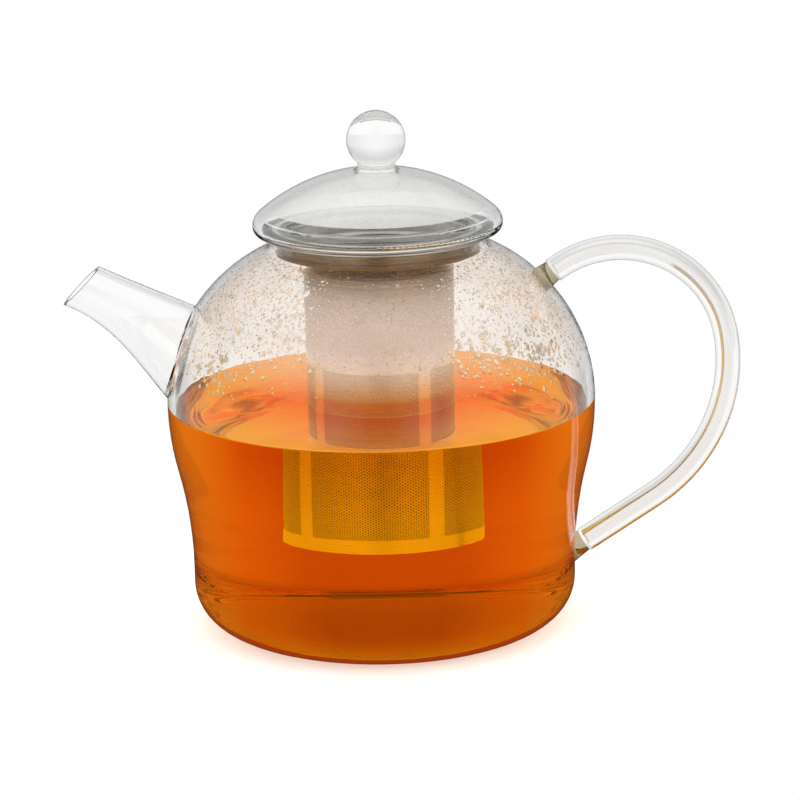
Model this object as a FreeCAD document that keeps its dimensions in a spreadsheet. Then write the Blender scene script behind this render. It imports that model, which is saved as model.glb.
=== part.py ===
import FreeCAD, Part
import math
import os
import Sketcher

# Glass teapot with a lift-out steel infuser and a domed lid.
# Millimetres, +Z up, origin at the centre of the flat base on the pot's axis.
# The spout points along -X and the handle along +X.

doc = FreeCAD.newDocument("teapot")

# Driving dimensions
SIZES = {
    # blown glass pot
    "belly_radius": 75.0,
    "belly_height": 79.5,
    "dome_radius": 59.3,
    "waist_inset": 7.3,
    "waist_height": 20.7,
    "underbelly_radius": 91.0,
    "base_corner_radius": 15.0,
    "base_thickness": 3.2,
    "glass_wall": 2.5,
    "neck_radius": 38.0,
    "neck_blend_radius": 2.5,
    "neck_straight": 2.6,
    "neck_rim_round": 0.8,
    # drawn glass spout
    "spout_lift": 21.1,
    "spout_angle": 37.0,
    "spout_root_radius": 15.2,
    "spout_taper_length": 23.0,
    "spout_throat_radius": 9.9,
    "spout_tip_reach": 32.4,
    "spout_tip_rise": 21.6,
    "spout_tip_radius": 9.1,
    "spout_tip_angle": 45.0,
    "spout_wall": 2.0,
    "spout_burial": 20.0,
    # bent glass handle and the two gobs that weld it on
    "handle_thickness": 8.6,
    "handle_width": 12.0,
    "handle_rise_angle": 37.0,
    "handle_crown_radius": 37.9,
    "handle_turn_angle": 80.0,
    "handle_fall_angle": 33.3,
    "upper_weld_share": 0.744,
    "lower_weld_lift": 2.9,
    "weld_length": 4.2,
    "weld_neck_thickness": 7.6,
    "weld_neck_width": 10.8,
    "weld_foot_thickness": 10.4,
    "weld_foot_width": 14.0,
    "weld_burial": 8.0,
    # pressed steel collar of the infuser
    "steel_sheet": 0.6,
    "flange_radius": 40.2,
    "collar_clearance": 0.4,
    "collar_depth": 7.0,
    "collar_bend_radius": 1.5,
    "funnel_drop": 5.1,
    # etched steel basket of the infuser
    "basket_radius": 26.0,
    "basket_length": 90.9,
    "spigot_length": 4.5,
    "spigot_clearance": 0.3,
    "strip_width": 5.0,
    "strip_turn": 35.0,
    "mesh_top_margin": 32.4,
    "mesh_bottom_margin": 5.5,
    "mesh_recess": 0.15,
    "base_mesh_radius": 22.5,
    # glass lid
    "lid_radius": 43.4,
    "lid_rise": 22.3,
    "lid_rim_round": 3.0,
    "lid_shoulder_radius": 5.4,
    "lid_wall": 2.2,
    "skirt_clearance": 0.8,
    "skirt_depth": 7.6,
    "knob_radius": 10.2,
    "knob_rise": 9.8,
    "knob_foot_radius": 8.0,
    "knob_neck_radius": 6.6,
    "knob_neck_round": 1.9,
}

# Lengths and places that follow from the driving dimensions
DERIVED = {
    # pot outline
    "waist_radius": "Sizes.belly_radius - Sizes.waist_inset",
    "belly_drop": "Sizes.belly_height - Sizes.waist_height",
    "swell_radius": "(belly_drop ^ 2 + Sizes.waist_inset ^ 2) / (2 * Sizes.waist_inset)",
    "flare_radius": "swell_radius - Sizes.underbelly_radius",
    "turn_sine": "belly_drop / swell_radius",
    "turn_cosine": "sqrt(1 - turn_sine ^ 2)",
    "turn_radius": "waist_radius + flare_radius * (1 - turn_cosine)",
    "turn_height": "Sizes.waist_height + flare_radius * turn_sine",
    "dome_axis": "Sizes.belly_radius - Sizes.dome_radius",
    "blend_axis": "Sizes.neck_radius + Sizes.neck_blend_radius",
    "blend_reach": "Sizes.dome_radius + Sizes.neck_blend_radius",
    "blend_rise": "sqrt(blend_reach ^ 2 - (blend_axis - dome_axis) ^ 2)",
    "blend_height": "Sizes.belly_height + blend_rise",
    "neck_bore": "Sizes.neck_radius - Sizes.glass_wall",
    "rim_height": "blend_height + Sizes.neck_straight",
    # spout axis
    "spout_root_x": "-dome_axis - sqrt(Sizes.dome_radius ^ 2 - Sizes.spout_lift ^ 2)",
    "spout_root_z": "Sizes.belly_height + Sizes.spout_lift",
    "spout_taper": "(Sizes.spout_root_radius - Sizes.spout_throat_radius) / Sizes.spout_taper_length",
    "spout_deep_radius": "Sizes.spout_root_radius + spout_taper * Sizes.spout_burial",
    # handle centre line: a crown arc, a grip arc and a straight tail
    "upper_weld_lift": "blend_rise * Sizes.upper_weld_share",
    "upper_weld_x": "dome_axis + sqrt(Sizes.dome_radius ^ 2 - upper_weld_lift ^ 2)",
    "upper_weld_z": "Sizes.belly_height + upper_weld_lift",
    "lower_weld_x": "waist_radius + flare_radius - sqrt(flare_radius ^ 2 - Sizes.lower_weld_lift ^ 2)",
    "lower_weld_z": "Sizes.waist_height + Sizes.lower_weld_lift",
    "rise_cosine": "cos(Sizes.handle_rise_angle)",
    "rise_sine": "sin(Sizes.handle_rise_angle)",
    "steep_cosine": "cos(Sizes.handle_turn_angle)",
    "steep_sine": "sin(Sizes.handle_turn_angle)",
    "fall_cosine": "cos(Sizes.handle_fall_angle)",
    "fall_sine": "sin(Sizes.handle_fall_angle)",
    "handle_start_x": "upper_weld_x + Sizes.weld_length * rise_cosine",
    "handle_start_z": "upper_weld_z + Sizes.weld_length * rise_sine",
    "handle_end_x": "lower_weld_x + Sizes.weld_length * fall_cosine",
    "handle_end_z": "lower_weld_z + Sizes.weld_length * fall_sine",
    "crown_end_x": "handle_start_x + Sizes.handle_crown_radius * (rise_sine + steep_sine)",
    "crown_end_z": "handle_start_z + Sizes.handle_crown_radius * (steep_cosine - rise_cosine)",
    "grip_span_x": "fall_sine - steep_sine",
    "grip_span_z": "-fall_cosine - steep_cosine",
    "grip_scale": "grip_span_z * fall_cosine - grip_span_x * fall_sine",
    "grip_gap_x": "handle_end_x - crown_end_x",
    "grip_gap_z": "handle_end_z - crown_end_z",
    "grip_radius": "(grip_gap_z * fall_cosine - grip_gap_x * fall_sine) / grip_scale",
    "grip_end_x": "crown_end_x + grip_radius * grip_span_x",
    "grip_end_z": "crown_end_z + grip_radius * grip_span_z",
    # infuser levels and radii
    "seat_height": "rim_height + Sizes.steel_sheet",
    "collar_outside": "neck_bore - Sizes.collar_clearance",
    "collar_inside": "collar_outside - Sizes.steel_sheet",
    "funnel_top": "rim_height - Sizes.collar_depth",
    "landing_height": "funnel_top - Sizes.funnel_drop",
    "funnel_slope": "Sizes.funnel_drop / (collar_outside - Sizes.basket_radius)",
    "funnel_lift": "Sizes.steel_sheet * sqrt(1 + funnel_slope ^ 2)",
    "sleeve_bore": "Sizes.basket_radius - Sizes.steel_sheet",
    "spigot_outside": "sleeve_bore - Sizes.spigot_clearance",
    "spigot_inside": "spigot_outside - Sizes.steel_sheet",
    "basket_floor": "landing_height - Sizes.basket_length",
    "sleeve_foot": "basket_floor + Sizes.steel_sheet",
    "mesh_top": "landing_height - Sizes.mesh_top_margin",
    "mesh_bottom": "basket_floor + Sizes.mesh_bottom_margin",
    "mesh_depth": "Sizes.basket_radius - Sizes.mesh_recess",
    "mesh_angle": "90 - Sizes.strip_width / Sizes.basket_radius * 180 / pi",
    # lid
    "lid_rim_height": "seat_height + Sizes.lid_rim_round",
    "lid_apex": "seat_height + Sizes.lid_rise",
    "lid_crown": "Sizes.lid_rise - Sizes.lid_rim_round",
    "shoulder_axis": "Sizes.lid_radius - Sizes.lid_shoulder_radius",
    "lid_sphere": "(shoulder_axis ^ 2 + lid_crown ^ 2 - Sizes.lid_shoulder_radius ^ 2)"
                  " / (2 * (lid_crown - Sizes.lid_shoulder_radius))",
    "lid_centre": "lid_apex - lid_sphere",
    "shoulder_reach": "lid_sphere - Sizes.lid_shoulder_radius",
    "shoulder_run": "shoulder_axis / shoulder_reach",
    "shoulder_climb": "(lid_rim_height - lid_centre) / shoulder_reach",
    "skirt_outside": "collar_inside - Sizes.skirt_clearance",
    "skirt_inside": "skirt_outside - Sizes.lid_wall",
    "knob_centre": "lid_apex + Sizes.knob_rise",
    "knob_foot_height": "lid_centre + sqrt(lid_sphere ^ 2 - Sizes.knob_foot_radius ^ 2)",
    "knob_neck_height": "knob_centre - sqrt(Sizes.knob_radius ^ 2 - Sizes.knob_neck_radius ^ 2)",
}

sizes = doc.addObject("Spreadsheet::Sheet", "Sizes")
for row, (alias, length) in enumerate(SIZES.items(), start=1):
    sizes.set(f"A{row}", alias)
    sizes.set(f"B{row}", str(length))
    sizes.setAlias(f"B{row}", alias)

derived = doc.addObject("Spreadsheet::Sheet", "Derived")
for row, alias in enumerate(DERIVED, start=1):
    derived.set(f"A{row}", alias)
    derived.setAlias(f"B{row}", alias)
for row, formula in enumerate(DERIVED.values(), start=1):
    derived.set(f"B{row}", "=" + formula)
doc.recompute()

LEFT = "left"
RIGHT = "right"
START = 1
END = 2


def bound(text):
    """Give a bare alias its sheet's name, and leave a formula as it is."""
    if text in SIZES:
        return "Sizes." + text
    if text in DERIVED:
        return "Derived." + text
    return text


def number(text):
    """Value of an alias or formula, in millimetres or degrees."""
    return float(derived.evalExpression(bound(text)))


def arc_between(start, end, radius, turn):
    """Arc of less than half a circle that leaves start and bends left or right."""
    chord = end.sub(start)
    half = chord.Length / 2
    side = 1 if turn == LEFT else -1
    square = FreeCAD.Vector(-chord.y, chord.x, 0).normalize()
    centre = start + chord * 0.5 + square * (side * math.sqrt(radius ** 2 - half ** 2))
    first, last = (start, end) if turn == LEFT else (end, start)
    circle = Part.Circle(centre, FreeCAD.Vector(0, 0, 1), radius)
    return Part.ArcOfCircle(circle, circle.parameter(first), circle.parameter(last))


def draw_outline(sketch, start, steps, closed=True):
    """Draw edges from corner to corner and bind every corner and radius to the sheets.

    A step is (x, y) for a straight edge to that corner, or (x, y, radius, turn) for an arc.
    """
    corners = [start] + [step[:2] for step in steps]
    places = [FreeCAD.Vector(number(x), number(y), 0) for x, y in corners]
    ends = []
    for index, step in enumerate(steps):
        if len(step) == 2:
            edge = sketch.addGeometry(Part.LineSegment(places[index], places[index + 1]))
            ends.append((edge, START, END))
            continue
        radius, turn = step[2:]
        arc = arc_between(places[index], places[index + 1], number(radius), turn)
        edge = sketch.addGeometry(arc)
        ends.append((edge, START, END) if turn == LEFT else (edge, END, START))
        rule = sketch.addConstraint(Sketcher.Constraint("Radius", edge, number(radius)))
        sketch.setExpression(f"Constraints[{rule}]", bound(radius))
    for index, (edge, tail, head) in enumerate(ends):
        place_point(sketch, edge, tail, corners[index])
        if index + 1 < len(ends) or closed:
            following, next_tail, _ = ends[(index + 1) % len(ends)]
            sketch.addConstraint(Sketcher.Constraint("Coincident", edge, head, following, next_tail))
    if not closed:
        edge, _, head = ends[-1]
        place_point(sketch, edge, head, corners[-1])


def place_point(sketch, edge, point, corner):
    """Bind the two coordinates of one end of an edge."""
    for kind, text in zip(("DistanceX", "DistanceY"), corner):
        rule = sketch.addConstraint(Sketcher.Constraint(kind, edge, point, number(text)))
        sketch.setExpression(f"Constraints[{rule}]", bound(text))


def origin_part(body, role):
    """Plane or axis of the body's own origin."""
    return next(item for item in body.Origin.OriginFeatures if item.Role == role)


def upright_sketch(body, name):
    """Sketch in the body's XZ plane: its x is the distance from the axis and its y the height."""
    sketch = body.newObject("Sketcher::SketchObject", name)
    sketch.AttachmentSupport = [(origin_part(body, "XZ_Plane"), "")]
    sketch.MapMode = "FlatFace"
    return sketch


def turned_body(name, start, steps):
    """Body of revolution about Z from a closed outline."""
    body = doc.addObject("PartDesign::Body", name)
    body.Label = name
    sketch = upright_sketch(body, name + "_outline")
    draw_outline(sketch, start, steps)
    turning = body.newObject("PartDesign::Revolution", name + "_turning")
    turning.Profile = sketch
    turning.ReferenceAxis = (sketch, ["V_Axis"])
    turning.Angle = 360
    sketch.Visibility = False
    doc.recompute()
    return body


def place(item, x, z, yaw, pitch, roll):
    """Bind an object's place in the XZ plane and its turn to the sheets."""
    spot = f"create(<<vector>>; {x}; 0; {z})"
    turn = f"create(<<rotation>>; {yaw}; {pitch}; {roll})"
    item.setExpression("Placement", f"create(<<placement>>; {spot}; {turn})")


def cut(name, base, tool):
    """Base with the tool's volume taken away."""
    result = doc.addObject("Part::Cut", name)
    result.Label = name
    result.Base = base
    result.Tool = tool
    doc.recompute()
    return result


def loft(name, sections):
    """Smooth solid through closed section curves."""
    solid = doc.addObject("Part::Loft", name)
    solid.Sections = sections
    solid.Solid = True
    doc.recompute()
    return solid


# Pot: one blown shell, an outer outline up from the base and an inner one back down
pot_outside = [
    ("Derived.waist_radius - Sizes.base_corner_radius", "0"),
    ("waist_radius", "base_corner_radius", "base_corner_radius", LEFT),
    ("waist_radius", "waist_height"),
    ("turn_radius", "turn_height", "flare_radius", RIGHT),
    ("belly_radius", "belly_height", "underbelly_radius", LEFT),
    ("Derived.dome_axis + (Derived.blend_axis - Derived.dome_axis) * Sizes.dome_radius / Derived.blend_reach",
     "Sizes.belly_height + Derived.blend_rise * Sizes.dome_radius / Derived.blend_reach",
     "dome_radius", LEFT),
    ("neck_radius", "blend_height", "neck_blend_radius", RIGHT),
    ("neck_radius", "Derived.rim_height - Sizes.neck_rim_round"),
    ("Sizes.neck_radius - Sizes.neck_rim_round", "rim_height", "neck_rim_round", LEFT),
]
inner_dome = "Sizes.dome_radius - Sizes.glass_wall"
inner_corner = "Sizes.base_corner_radius - Sizes.glass_wall"
inner_waist = "Derived.waist_radius - Sizes.glass_wall"
pot_inside = [
    ("Derived.neck_bore + Sizes.neck_rim_round", "rim_height"),
    ("neck_bore", "Derived.rim_height - Sizes.neck_rim_round", "neck_rim_round", LEFT),
    ("neck_bore", "blend_height"),
    (f"Derived.dome_axis + (Derived.blend_axis - Derived.dome_axis) * ({inner_dome}) / Derived.blend_reach",
     f"Sizes.belly_height + Derived.blend_rise * ({inner_dome}) / Derived.blend_reach",
     "Sizes.neck_blend_radius + Sizes.glass_wall", LEFT),
    ("Sizes.belly_radius - Sizes.glass_wall", "belly_height", inner_dome, RIGHT),
    ("Derived.turn_radius - Sizes.glass_wall * Derived.turn_cosine",
     "Derived.turn_height + Sizes.glass_wall * Derived.turn_sine",
     "Sizes.underbelly_radius - Sizes.glass_wall", RIGHT),
    (inner_waist, "waist_height", "Derived.flare_radius + Sizes.glass_wall", LEFT),
    (inner_waist, f"Sizes.base_thickness + {inner_corner}"),
    (f"{inner_waist} - ({inner_corner})", "base_thickness", inner_corner, RIGHT),
    ("0", "base_thickness"),
    ("0", "0"),
]
pot_shell = turned_body("pot_shell", ("0", "0"), pot_outside + pot_inside)
pot_envelope = turned_body("pot_envelope", ("0", "0"), pot_outside + [("0", "rim_height"), ("0", "0")])


# Spout: round sections along an axis that leaves the dome and levels out towards the tip
def spout_sections(name, wall):
    """Circles from inside the pot to the slanted tip, drawn in by a wall."""
    root_angle = "Sizes.spout_angle"
    axis_x = "Derived.spout_root_x - {} * cos(Sizes.spout_angle)"
    axis_z = "Derived.spout_root_z + {} * sin(Sizes.spout_angle)"
    stations = [
        (axis_x.format("(-Sizes.spout_burial)"), axis_z.format("(-Sizes.spout_burial)"),
         "Derived.spout_deep_radius", root_angle),
        ("Derived.spout_root_x", "Derived.spout_root_z", "Sizes.spout_root_radius", root_angle),
        (axis_x.format("Sizes.spout_taper_length"), axis_z.format("Sizes.spout_taper_length"),
         "Sizes.spout_throat_radius", root_angle),
        ("Derived.spout_root_x - Sizes.spout_tip_reach", "Derived.spout_root_z + Sizes.spout_tip_rise",
         "Sizes.spout_tip_radius", "Sizes.spout_tip_angle"),
    ]
    circles = []
    for index, (x, z, radius, angle) in enumerate(stations):
        circle = doc.addObject("Part::Circle", f"{name}_section_{index}")
        circle.setExpression("Radius", f"{radius} - {wall}")
        place(circle, x, z, "0", f"{angle} - 90", "0")
        circles.append(circle)
    doc.recompute()
    return circles


spout_blank = loft("spout_blank", spout_sections("spout_blank", "0"))
spout_bore = loft("spout_bore", spout_sections("spout_bore", "Sizes.spout_wall"))
spout_tube = cut("spout_tube", spout_blank, spout_bore)
spout = cut("spout", spout_tube, pot_envelope)
pot_body = cut("pot_body", pot_shell, spout_bore)


# Handle: an oval rod bent along a crown arc, a grip arc and a straight tail
def oval(name, thickness, width, x, z, slope):
    """Ellipse across a rod that runs at a slope in the XZ plane, widest along Y."""
    section = doc.addObject("Part::Ellipse", name)
    section.MajorRadius = number(width) / 2
    section.MinorRadius = number(thickness) / 2
    section.setExpression("MajorRadius", f"{bound(width)} / 2")
    section.setExpression("MinorRadius", f"{bound(thickness)} / 2")
    place(section, x, z, "90", "0", f"90 - {slope}")
    return section


handle_path = doc.addObject("Sketcher::SketchObject", "handle_path")
handle_path.Placement = FreeCAD.Placement(FreeCAD.Vector(), FreeCAD.Rotation(FreeCAD.Vector(1, 0, 0), 90))
draw_outline(handle_path, ("handle_start_x", "handle_start_z"), [
    ("crown_end_x", "crown_end_z", "handle_crown_radius", RIGHT),
    ("grip_end_x", "grip_end_z", "grip_radius", RIGHT),
    ("handle_end_x", "handle_end_z"),
], closed=False)
doc.recompute()

handle = doc.addObject("Part::Sweep", "handle")
handle.Label = "handle"
handle.Sections = [oval("handle_section", "handle_thickness", "handle_width",
                        "Derived.handle_start_x", "Derived.handle_start_z", "Sizes.handle_rise_angle")]
handle.Spine = (handle_path, ["Edge1", "Edge2", "Edge3"])
handle.Solid = True
handle.Frenet = True
doc.recompute()


# Handle welds: gobs of glass that swell from the rod's end to the pot's wall
def handle_weld(name, end_x, end_z, slope):
    """Gob from one end of the rod into the pot, cut off at the pot's outer face."""
    depth = "(Sizes.weld_length + Sizes.weld_burial)"
    neck = oval(name + "_neck", "weld_neck_thickness", "weld_neck_width", end_x, end_z, slope)
    foot = oval(name + "_foot", "weld_foot_thickness", "weld_foot_width",
                f"{end_x} - {depth} * cos({slope})", f"{end_z} - {depth} * sin({slope})", slope)
    doc.recompute()
    return cut(name, loft(name + "_gob", [neck, foot]), pot_envelope)


upper_weld = handle_weld("handle_upper_weld", "Derived.handle_start_x", "Derived.handle_start_z",
                         "Sizes.handle_rise_angle")
lower_weld = handle_weld("handle_lower_weld", "Derived.handle_end_x", "Derived.handle_end_z",
                         "Sizes.handle_fall_angle")

# Infuser collar: flange on the neck's rim, collar inside the neck, funnel and spigot for the sleeve
under_bend = "Sizes.collar_bend_radius - Sizes.steel_sheet"
collar = turned_body("infuser_collar", ("flange_radius", "rim_height"), [
    ("flange_radius", "seat_height"),
    ("Derived.collar_inside + Sizes.collar_bend_radius", "seat_height"),
    ("collar_inside", "Derived.seat_height - Sizes.collar_bend_radius", "collar_bend_radius", LEFT),
    ("collar_inside", "Derived.funnel_top + Derived.funnel_lift - Sizes.steel_sheet * Derived.funnel_slope"),
    ("spigot_inside", "Derived.landing_height + Derived.funnel_lift"
                      " - (Sizes.basket_radius - Derived.spigot_inside) * Derived.funnel_slope"),
    ("spigot_inside", "Derived.landing_height - Sizes.spigot_length"),
    ("spigot_outside", "Derived.landing_height - Sizes.spigot_length"),
    ("spigot_outside", "landing_height"),
    ("basket_radius", "landing_height"),
    ("collar_outside", "funnel_top"),
    ("collar_outside", f"Derived.rim_height - ({under_bend})"),
    (f"Derived.collar_outside + {under_bend}", "rim_height", under_bend, RIGHT),
    ("flange_radius", "rim_height"),
])

# Infuser sleeve: rolled sheet with four etched fields between plain strips
sleeve = turned_body("infuser_sleeve", ("sleeve_bore", "sleeve_foot"), [
    ("basket_radius", "sleeve_foot"),
    ("basket_radius", "landing_height"),
    ("sleeve_bore", "landing_height"),
    ("sleeve_bore", "sleeve_foot"),
])
plain_volume = sleeve.Shape.Volume
FIELD_COUNT = 4
field_outline = upright_sketch(sleeve, "etched_field_outline")
draw_outline(field_outline, ("mesh_depth", "mesh_bottom"), [
    ("Sizes.basket_radius + Sizes.mesh_recess", "mesh_bottom"),
    ("Sizes.basket_radius + Sizes.mesh_recess", "mesh_top"),
    ("mesh_depth", "mesh_top"),
    ("mesh_depth", "mesh_bottom"),
])
field = sleeve.newObject("PartDesign::Groove", "etched_field")
field.Profile = field_outline
field.ReferenceAxis = (field_outline, ["V_Axis"])
field.Midplane = True
field.setExpression("Angle", "Derived.mesh_angle")
field_outline.Visibility = False
doc.recompute()
fields = sleeve.newObject("PartDesign::PolarPattern", "etched_fields")
fields.Originals = [field]
fields.Axis = (origin_part(sleeve, "Z_Axis"), [""])
fields.Angle = 360
fields.Occurrences = FIELD_COUNT
sleeve.Tip = fields
place(sleeve, "0", "0", f"Sizes.strip_turn - 180 / {FIELD_COUNT}", "0", "0")
doc.recompute()
if sleeve.Shape.Volume >= plain_volume:
    raise RuntimeError("the etched fields did not cut into the sleeve")

# Infuser base: pressed disc under the sleeve, with a spigot inside it and an etched floor
base = turned_body("infuser_base", ("0", "basket_floor"), [
    ("basket_radius", "basket_floor"),
    ("basket_radius", "sleeve_foot"),
    ("spigot_outside", "sleeve_foot"),
    ("spigot_outside", "Derived.sleeve_foot + Sizes.spigot_length"),
    ("spigot_inside", "Derived.sleeve_foot + Sizes.spigot_length"),
    ("spigot_inside", "sleeve_foot"),
    ("base_mesh_radius", "sleeve_foot"),
    ("base_mesh_radius", "Derived.sleeve_foot - Sizes.mesh_recess"),
    ("0", "Derived.sleeve_foot - Sizes.mesh_recess"),
    ("0", "basket_floor"),
])

# Lid dome: blown shell whose rim rolls under and turns in to the skirt
inner_sphere = "Derived.lid_sphere - Sizes.lid_wall"
inner_shoulder = "Sizes.lid_shoulder_radius - Sizes.lid_wall"
rim_axis = "Sizes.lid_radius - Sizes.lid_rim_round"
lid_dome = turned_body("lid_dome", ("0", "Derived.lid_apex - Sizes.lid_wall"), [
    ("0", "lid_apex"),
    ("Derived.lid_sphere * Derived.shoulder_run",
     "Derived.lid_centre + Derived.lid_sphere * Derived.shoulder_climb", "lid_sphere", RIGHT),
    ("lid_radius", "lid_rim_height", "lid_shoulder_radius", RIGHT),
    (rim_axis, "seat_height", "lid_rim_round", RIGHT),
    ("skirt_inside", "seat_height"),
    ("skirt_inside", "Derived.seat_height + Sizes.lid_wall"),
    (rim_axis, "Derived.seat_height + Sizes.lid_wall"),
    ("Sizes.lid_radius - Sizes.lid_wall", "lid_rim_height", "Sizes.lid_rim_round - Sizes.lid_wall", LEFT),
    (f"({inner_sphere}) * Derived.shoulder_run",
     f"Derived.lid_centre + ({inner_sphere}) * Derived.shoulder_climb", inner_shoulder, LEFT),
    ("0", "Derived.lid_apex - Sizes.lid_wall", inner_sphere, LEFT),
])

# Lid skirt: short glass tube fused under the dome, inside the infuser's collar
lid_skirt = turned_body("lid_skirt", ("skirt_inside", "Derived.seat_height - Sizes.skirt_depth"), [
    ("skirt_outside", "Derived.seat_height - Sizes.skirt_depth"),
    ("skirt_outside", "seat_height"),
    ("skirt_inside", "seat_height"),
    ("skirt_inside", "Derived.seat_height - Sizes.skirt_depth"),
])

# Lid knob: solid glass ball on a short drawn-in neck that follows the dome
lid_knob = turned_body("lid_knob", ("0", "lid_apex"), [
    ("knob_foot_radius", "knob_foot_height", "lid_sphere", RIGHT),
    ("knob_neck_radius", "knob_neck_height", "knob_neck_round", RIGHT),
    ("knob_radius", "knob_centre", "knob_radius", LEFT),
    ("0", "Derived.knob_centre + Sizes.knob_radius", "knob_radius", LEFT),
    ("0", "lid_apex"),
])

# Check every object, then write each piece
pieces = [pot_body, spout, handle, upper_weld, lower_weld, collar, sleeve, base,
          lid_dome, lid_skirt, lid_knob]
doc.recompute()
for item in doc.Objects:
    if "Invalid" in item.State or "Error" in item.State:
        raise RuntimeError(f"{item.Label} did not build: {item.State}")
for piece in pieces:
    if piece.Shape.isNull() or not piece.Shape.isValid() or len(piece.Shape.Solids) != 1:
        raise RuntimeError(f"{piece.Label} is not one valid solid")

os.makedirs("parts", exist_ok=True)
for piece in pieces:
    piece.Shape.exportStep(f"parts/{piece.Label}.step")
    print(f"{piece.Label}: {piece.Shape.Volume:.0f} mm3")
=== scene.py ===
import math
import random

import bpy
from mathutils import Euler, Matrix, Vector


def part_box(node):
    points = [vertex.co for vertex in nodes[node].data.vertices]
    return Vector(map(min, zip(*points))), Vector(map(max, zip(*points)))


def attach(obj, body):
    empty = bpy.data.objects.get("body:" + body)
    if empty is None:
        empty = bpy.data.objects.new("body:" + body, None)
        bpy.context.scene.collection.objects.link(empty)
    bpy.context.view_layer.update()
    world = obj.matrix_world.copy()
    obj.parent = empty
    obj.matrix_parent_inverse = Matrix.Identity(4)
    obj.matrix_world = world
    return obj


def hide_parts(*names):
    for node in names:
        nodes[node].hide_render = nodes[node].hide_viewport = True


# Looks of the glass teapot: clear glass, etched steel infuser, brewed tea and condensation.
# The scene is in metres, with +Z up and the origin at the centre of the base. The spout points along -X and
# the handle along +X. Named lengths are in millimetres. Colours are red, green, blue and alpha.

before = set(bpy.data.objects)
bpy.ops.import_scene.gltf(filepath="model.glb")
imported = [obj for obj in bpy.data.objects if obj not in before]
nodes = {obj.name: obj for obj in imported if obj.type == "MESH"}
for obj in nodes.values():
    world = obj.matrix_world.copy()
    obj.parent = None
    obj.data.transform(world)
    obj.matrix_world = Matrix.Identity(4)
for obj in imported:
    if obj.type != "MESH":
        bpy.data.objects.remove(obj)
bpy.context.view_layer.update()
MM = 0.001
SEED = 11
WHITE = (1.0, 1.0, 1.0, 1)

# Camera, fitted to the outline of the pot in the 800 x 800 frame
FRAME_PIXELS = 800
FOCAL_PIXELS = 3140.8
AXIS_PIXEL = (381.264, 397.937)
CAMERA_PLACE = Vector((0.0, -1068.13, 360.04)) * MM
CAMERA_DOWN = math.radians(14.717)
CAMERA_ROLL = math.radians(1.208)
SENSOR_WIDTH = 36.0
NEAR_CLIP = 50.0

# Inner face of the pot, as in the solids
BELLY_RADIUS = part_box("pot_body")[1].y / MM
BELLY_HEIGHT = 79.5
DOME_RADIUS = 59.3
WAIST_RADIUS = 67.7
WAIST_HEIGHT = 20.7
UNDERBELLY_RADIUS = 91.0
FLARE_RADIUS = 149.46
TURN_HEIGHT = 57.25
BASE_CORNER_RADIUS = 15.0
BASE_THICKNESS = 3.2
GLASS_WALL = 2.5
NECK_FOOT = 133.5

# Spout axis, where it leaves the dome
SPOUT_ROOT = Vector((-71.1, 0.0, 100.6))
SPOUT_ANGLE = math.radians(37.0)
SPOUT_BORE = 13.2

# Etched infuser
BASKET_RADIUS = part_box("infuser_sleeve")[1].y / MM
SLEEVE_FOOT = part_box("infuser_sleeve")[0].z / MM
SLEEVE_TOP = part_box("infuser_sleeve")[1].z / MM
BASKET_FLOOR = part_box("infuser_base")[0].z / MM
SPIGOT_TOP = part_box("infuser_base")[1].z / MM
STEEL_SHEET = 0.6
FIELD_BOTTOM = 41.2
FIELD_TOP = 94.2
FIELD_COUNT = 4
FIRST_FIELD_ANGLE = math.radians(-10.0)
FIELD_ANGLE = math.radians(78.98)
FIELD_RECESS = 0.15
FIELD_BACK = 0.5
FIELD_TUCK = 0.7
FIELD_STEPS = 30
STRIP_STEPS = 5
HOLE_PITCH = 0.9
HOLE_RADIUS = 0.25
HOLE_SIDES = 6
FLOOR_FIELD_RADIUS = 22.5
FLOOR_SKIN = 0.08
SPIGOT_OUTSIDE = 25.1
SPIGOT_INSIDE = 24.5

# Lid
LID_SPHERE = 64.3
LID_CENTRE = 97.3
LID_WALL = 2.2
LID_HAZE_TURN = math.radians(36.5)

# Tea
TEA_LEVEL = 79.2
TEA_SOAK = 0.3
MENISCUS_RISE = 1.0
MENISCUS_REACH = 1.4
SURFACE_FACES_UP = 0.3

TURN_STEPS = 192


# Mesh helpers
def new_piece(name, points, faces, material, body, smooth_angle=math.radians(40)):
    """Mesh object from points in millimetres, shaded smooth up to an angle, riding on a body."""
    mesh = bpy.data.meshes.new(name)
    mesh.from_pydata([Vector(point) * MM for point in points], [], faces)
    mesh.polygons.foreach_set("use_smooth", [True] * len(mesh.polygons))
    mesh.set_sharp_from_angle(angle=smooth_angle)
    mesh.materials.append(material)
    piece = bpy.data.objects.new(name, mesh)
    bpy.context.scene.collection.objects.link(piece)
    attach(piece, body)
    return piece


def around(radius, angle, height):
    """Point at a distance from the axis."""
    return (radius * math.cos(angle), radius * math.sin(angle), height)


def turned(outline, closed, steps=TURN_STEPS):
    """Points and faces of an outline of (radius, height) turned about Z. A closed outline is a ring."""
    points = []
    rings = []
    for radius, height in outline:
        if radius == 0:
            rings.append([len(points)] * steps)
            points.append((0.0, 0.0, height))
            continue
        rings.append(list(range(len(points), len(points) + steps)))
        points += [around(radius, 2 * math.pi * step / steps, height) for step in range(steps)]
    pairs = list(zip(rings, rings[1:]))
    if closed:
        pairs.append((rings[-1], rings[0]))
    faces = []
    for low, high in pairs:
        for step in range(steps):
            after = (step + 1) % steps
            corners = [low[step], low[after], high[after], high[step]]
            faces.append(list(dict.fromkeys(corners)))
    return points, faces


def join(*parts):
    """One list of points and faces from several."""
    points = []
    faces = []
    for part_points, part_faces in parts:
        start = len(points)
        points += part_points
        faces += [[start + corner for corner in face] for face in part_faces]
    return points, faces


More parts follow.
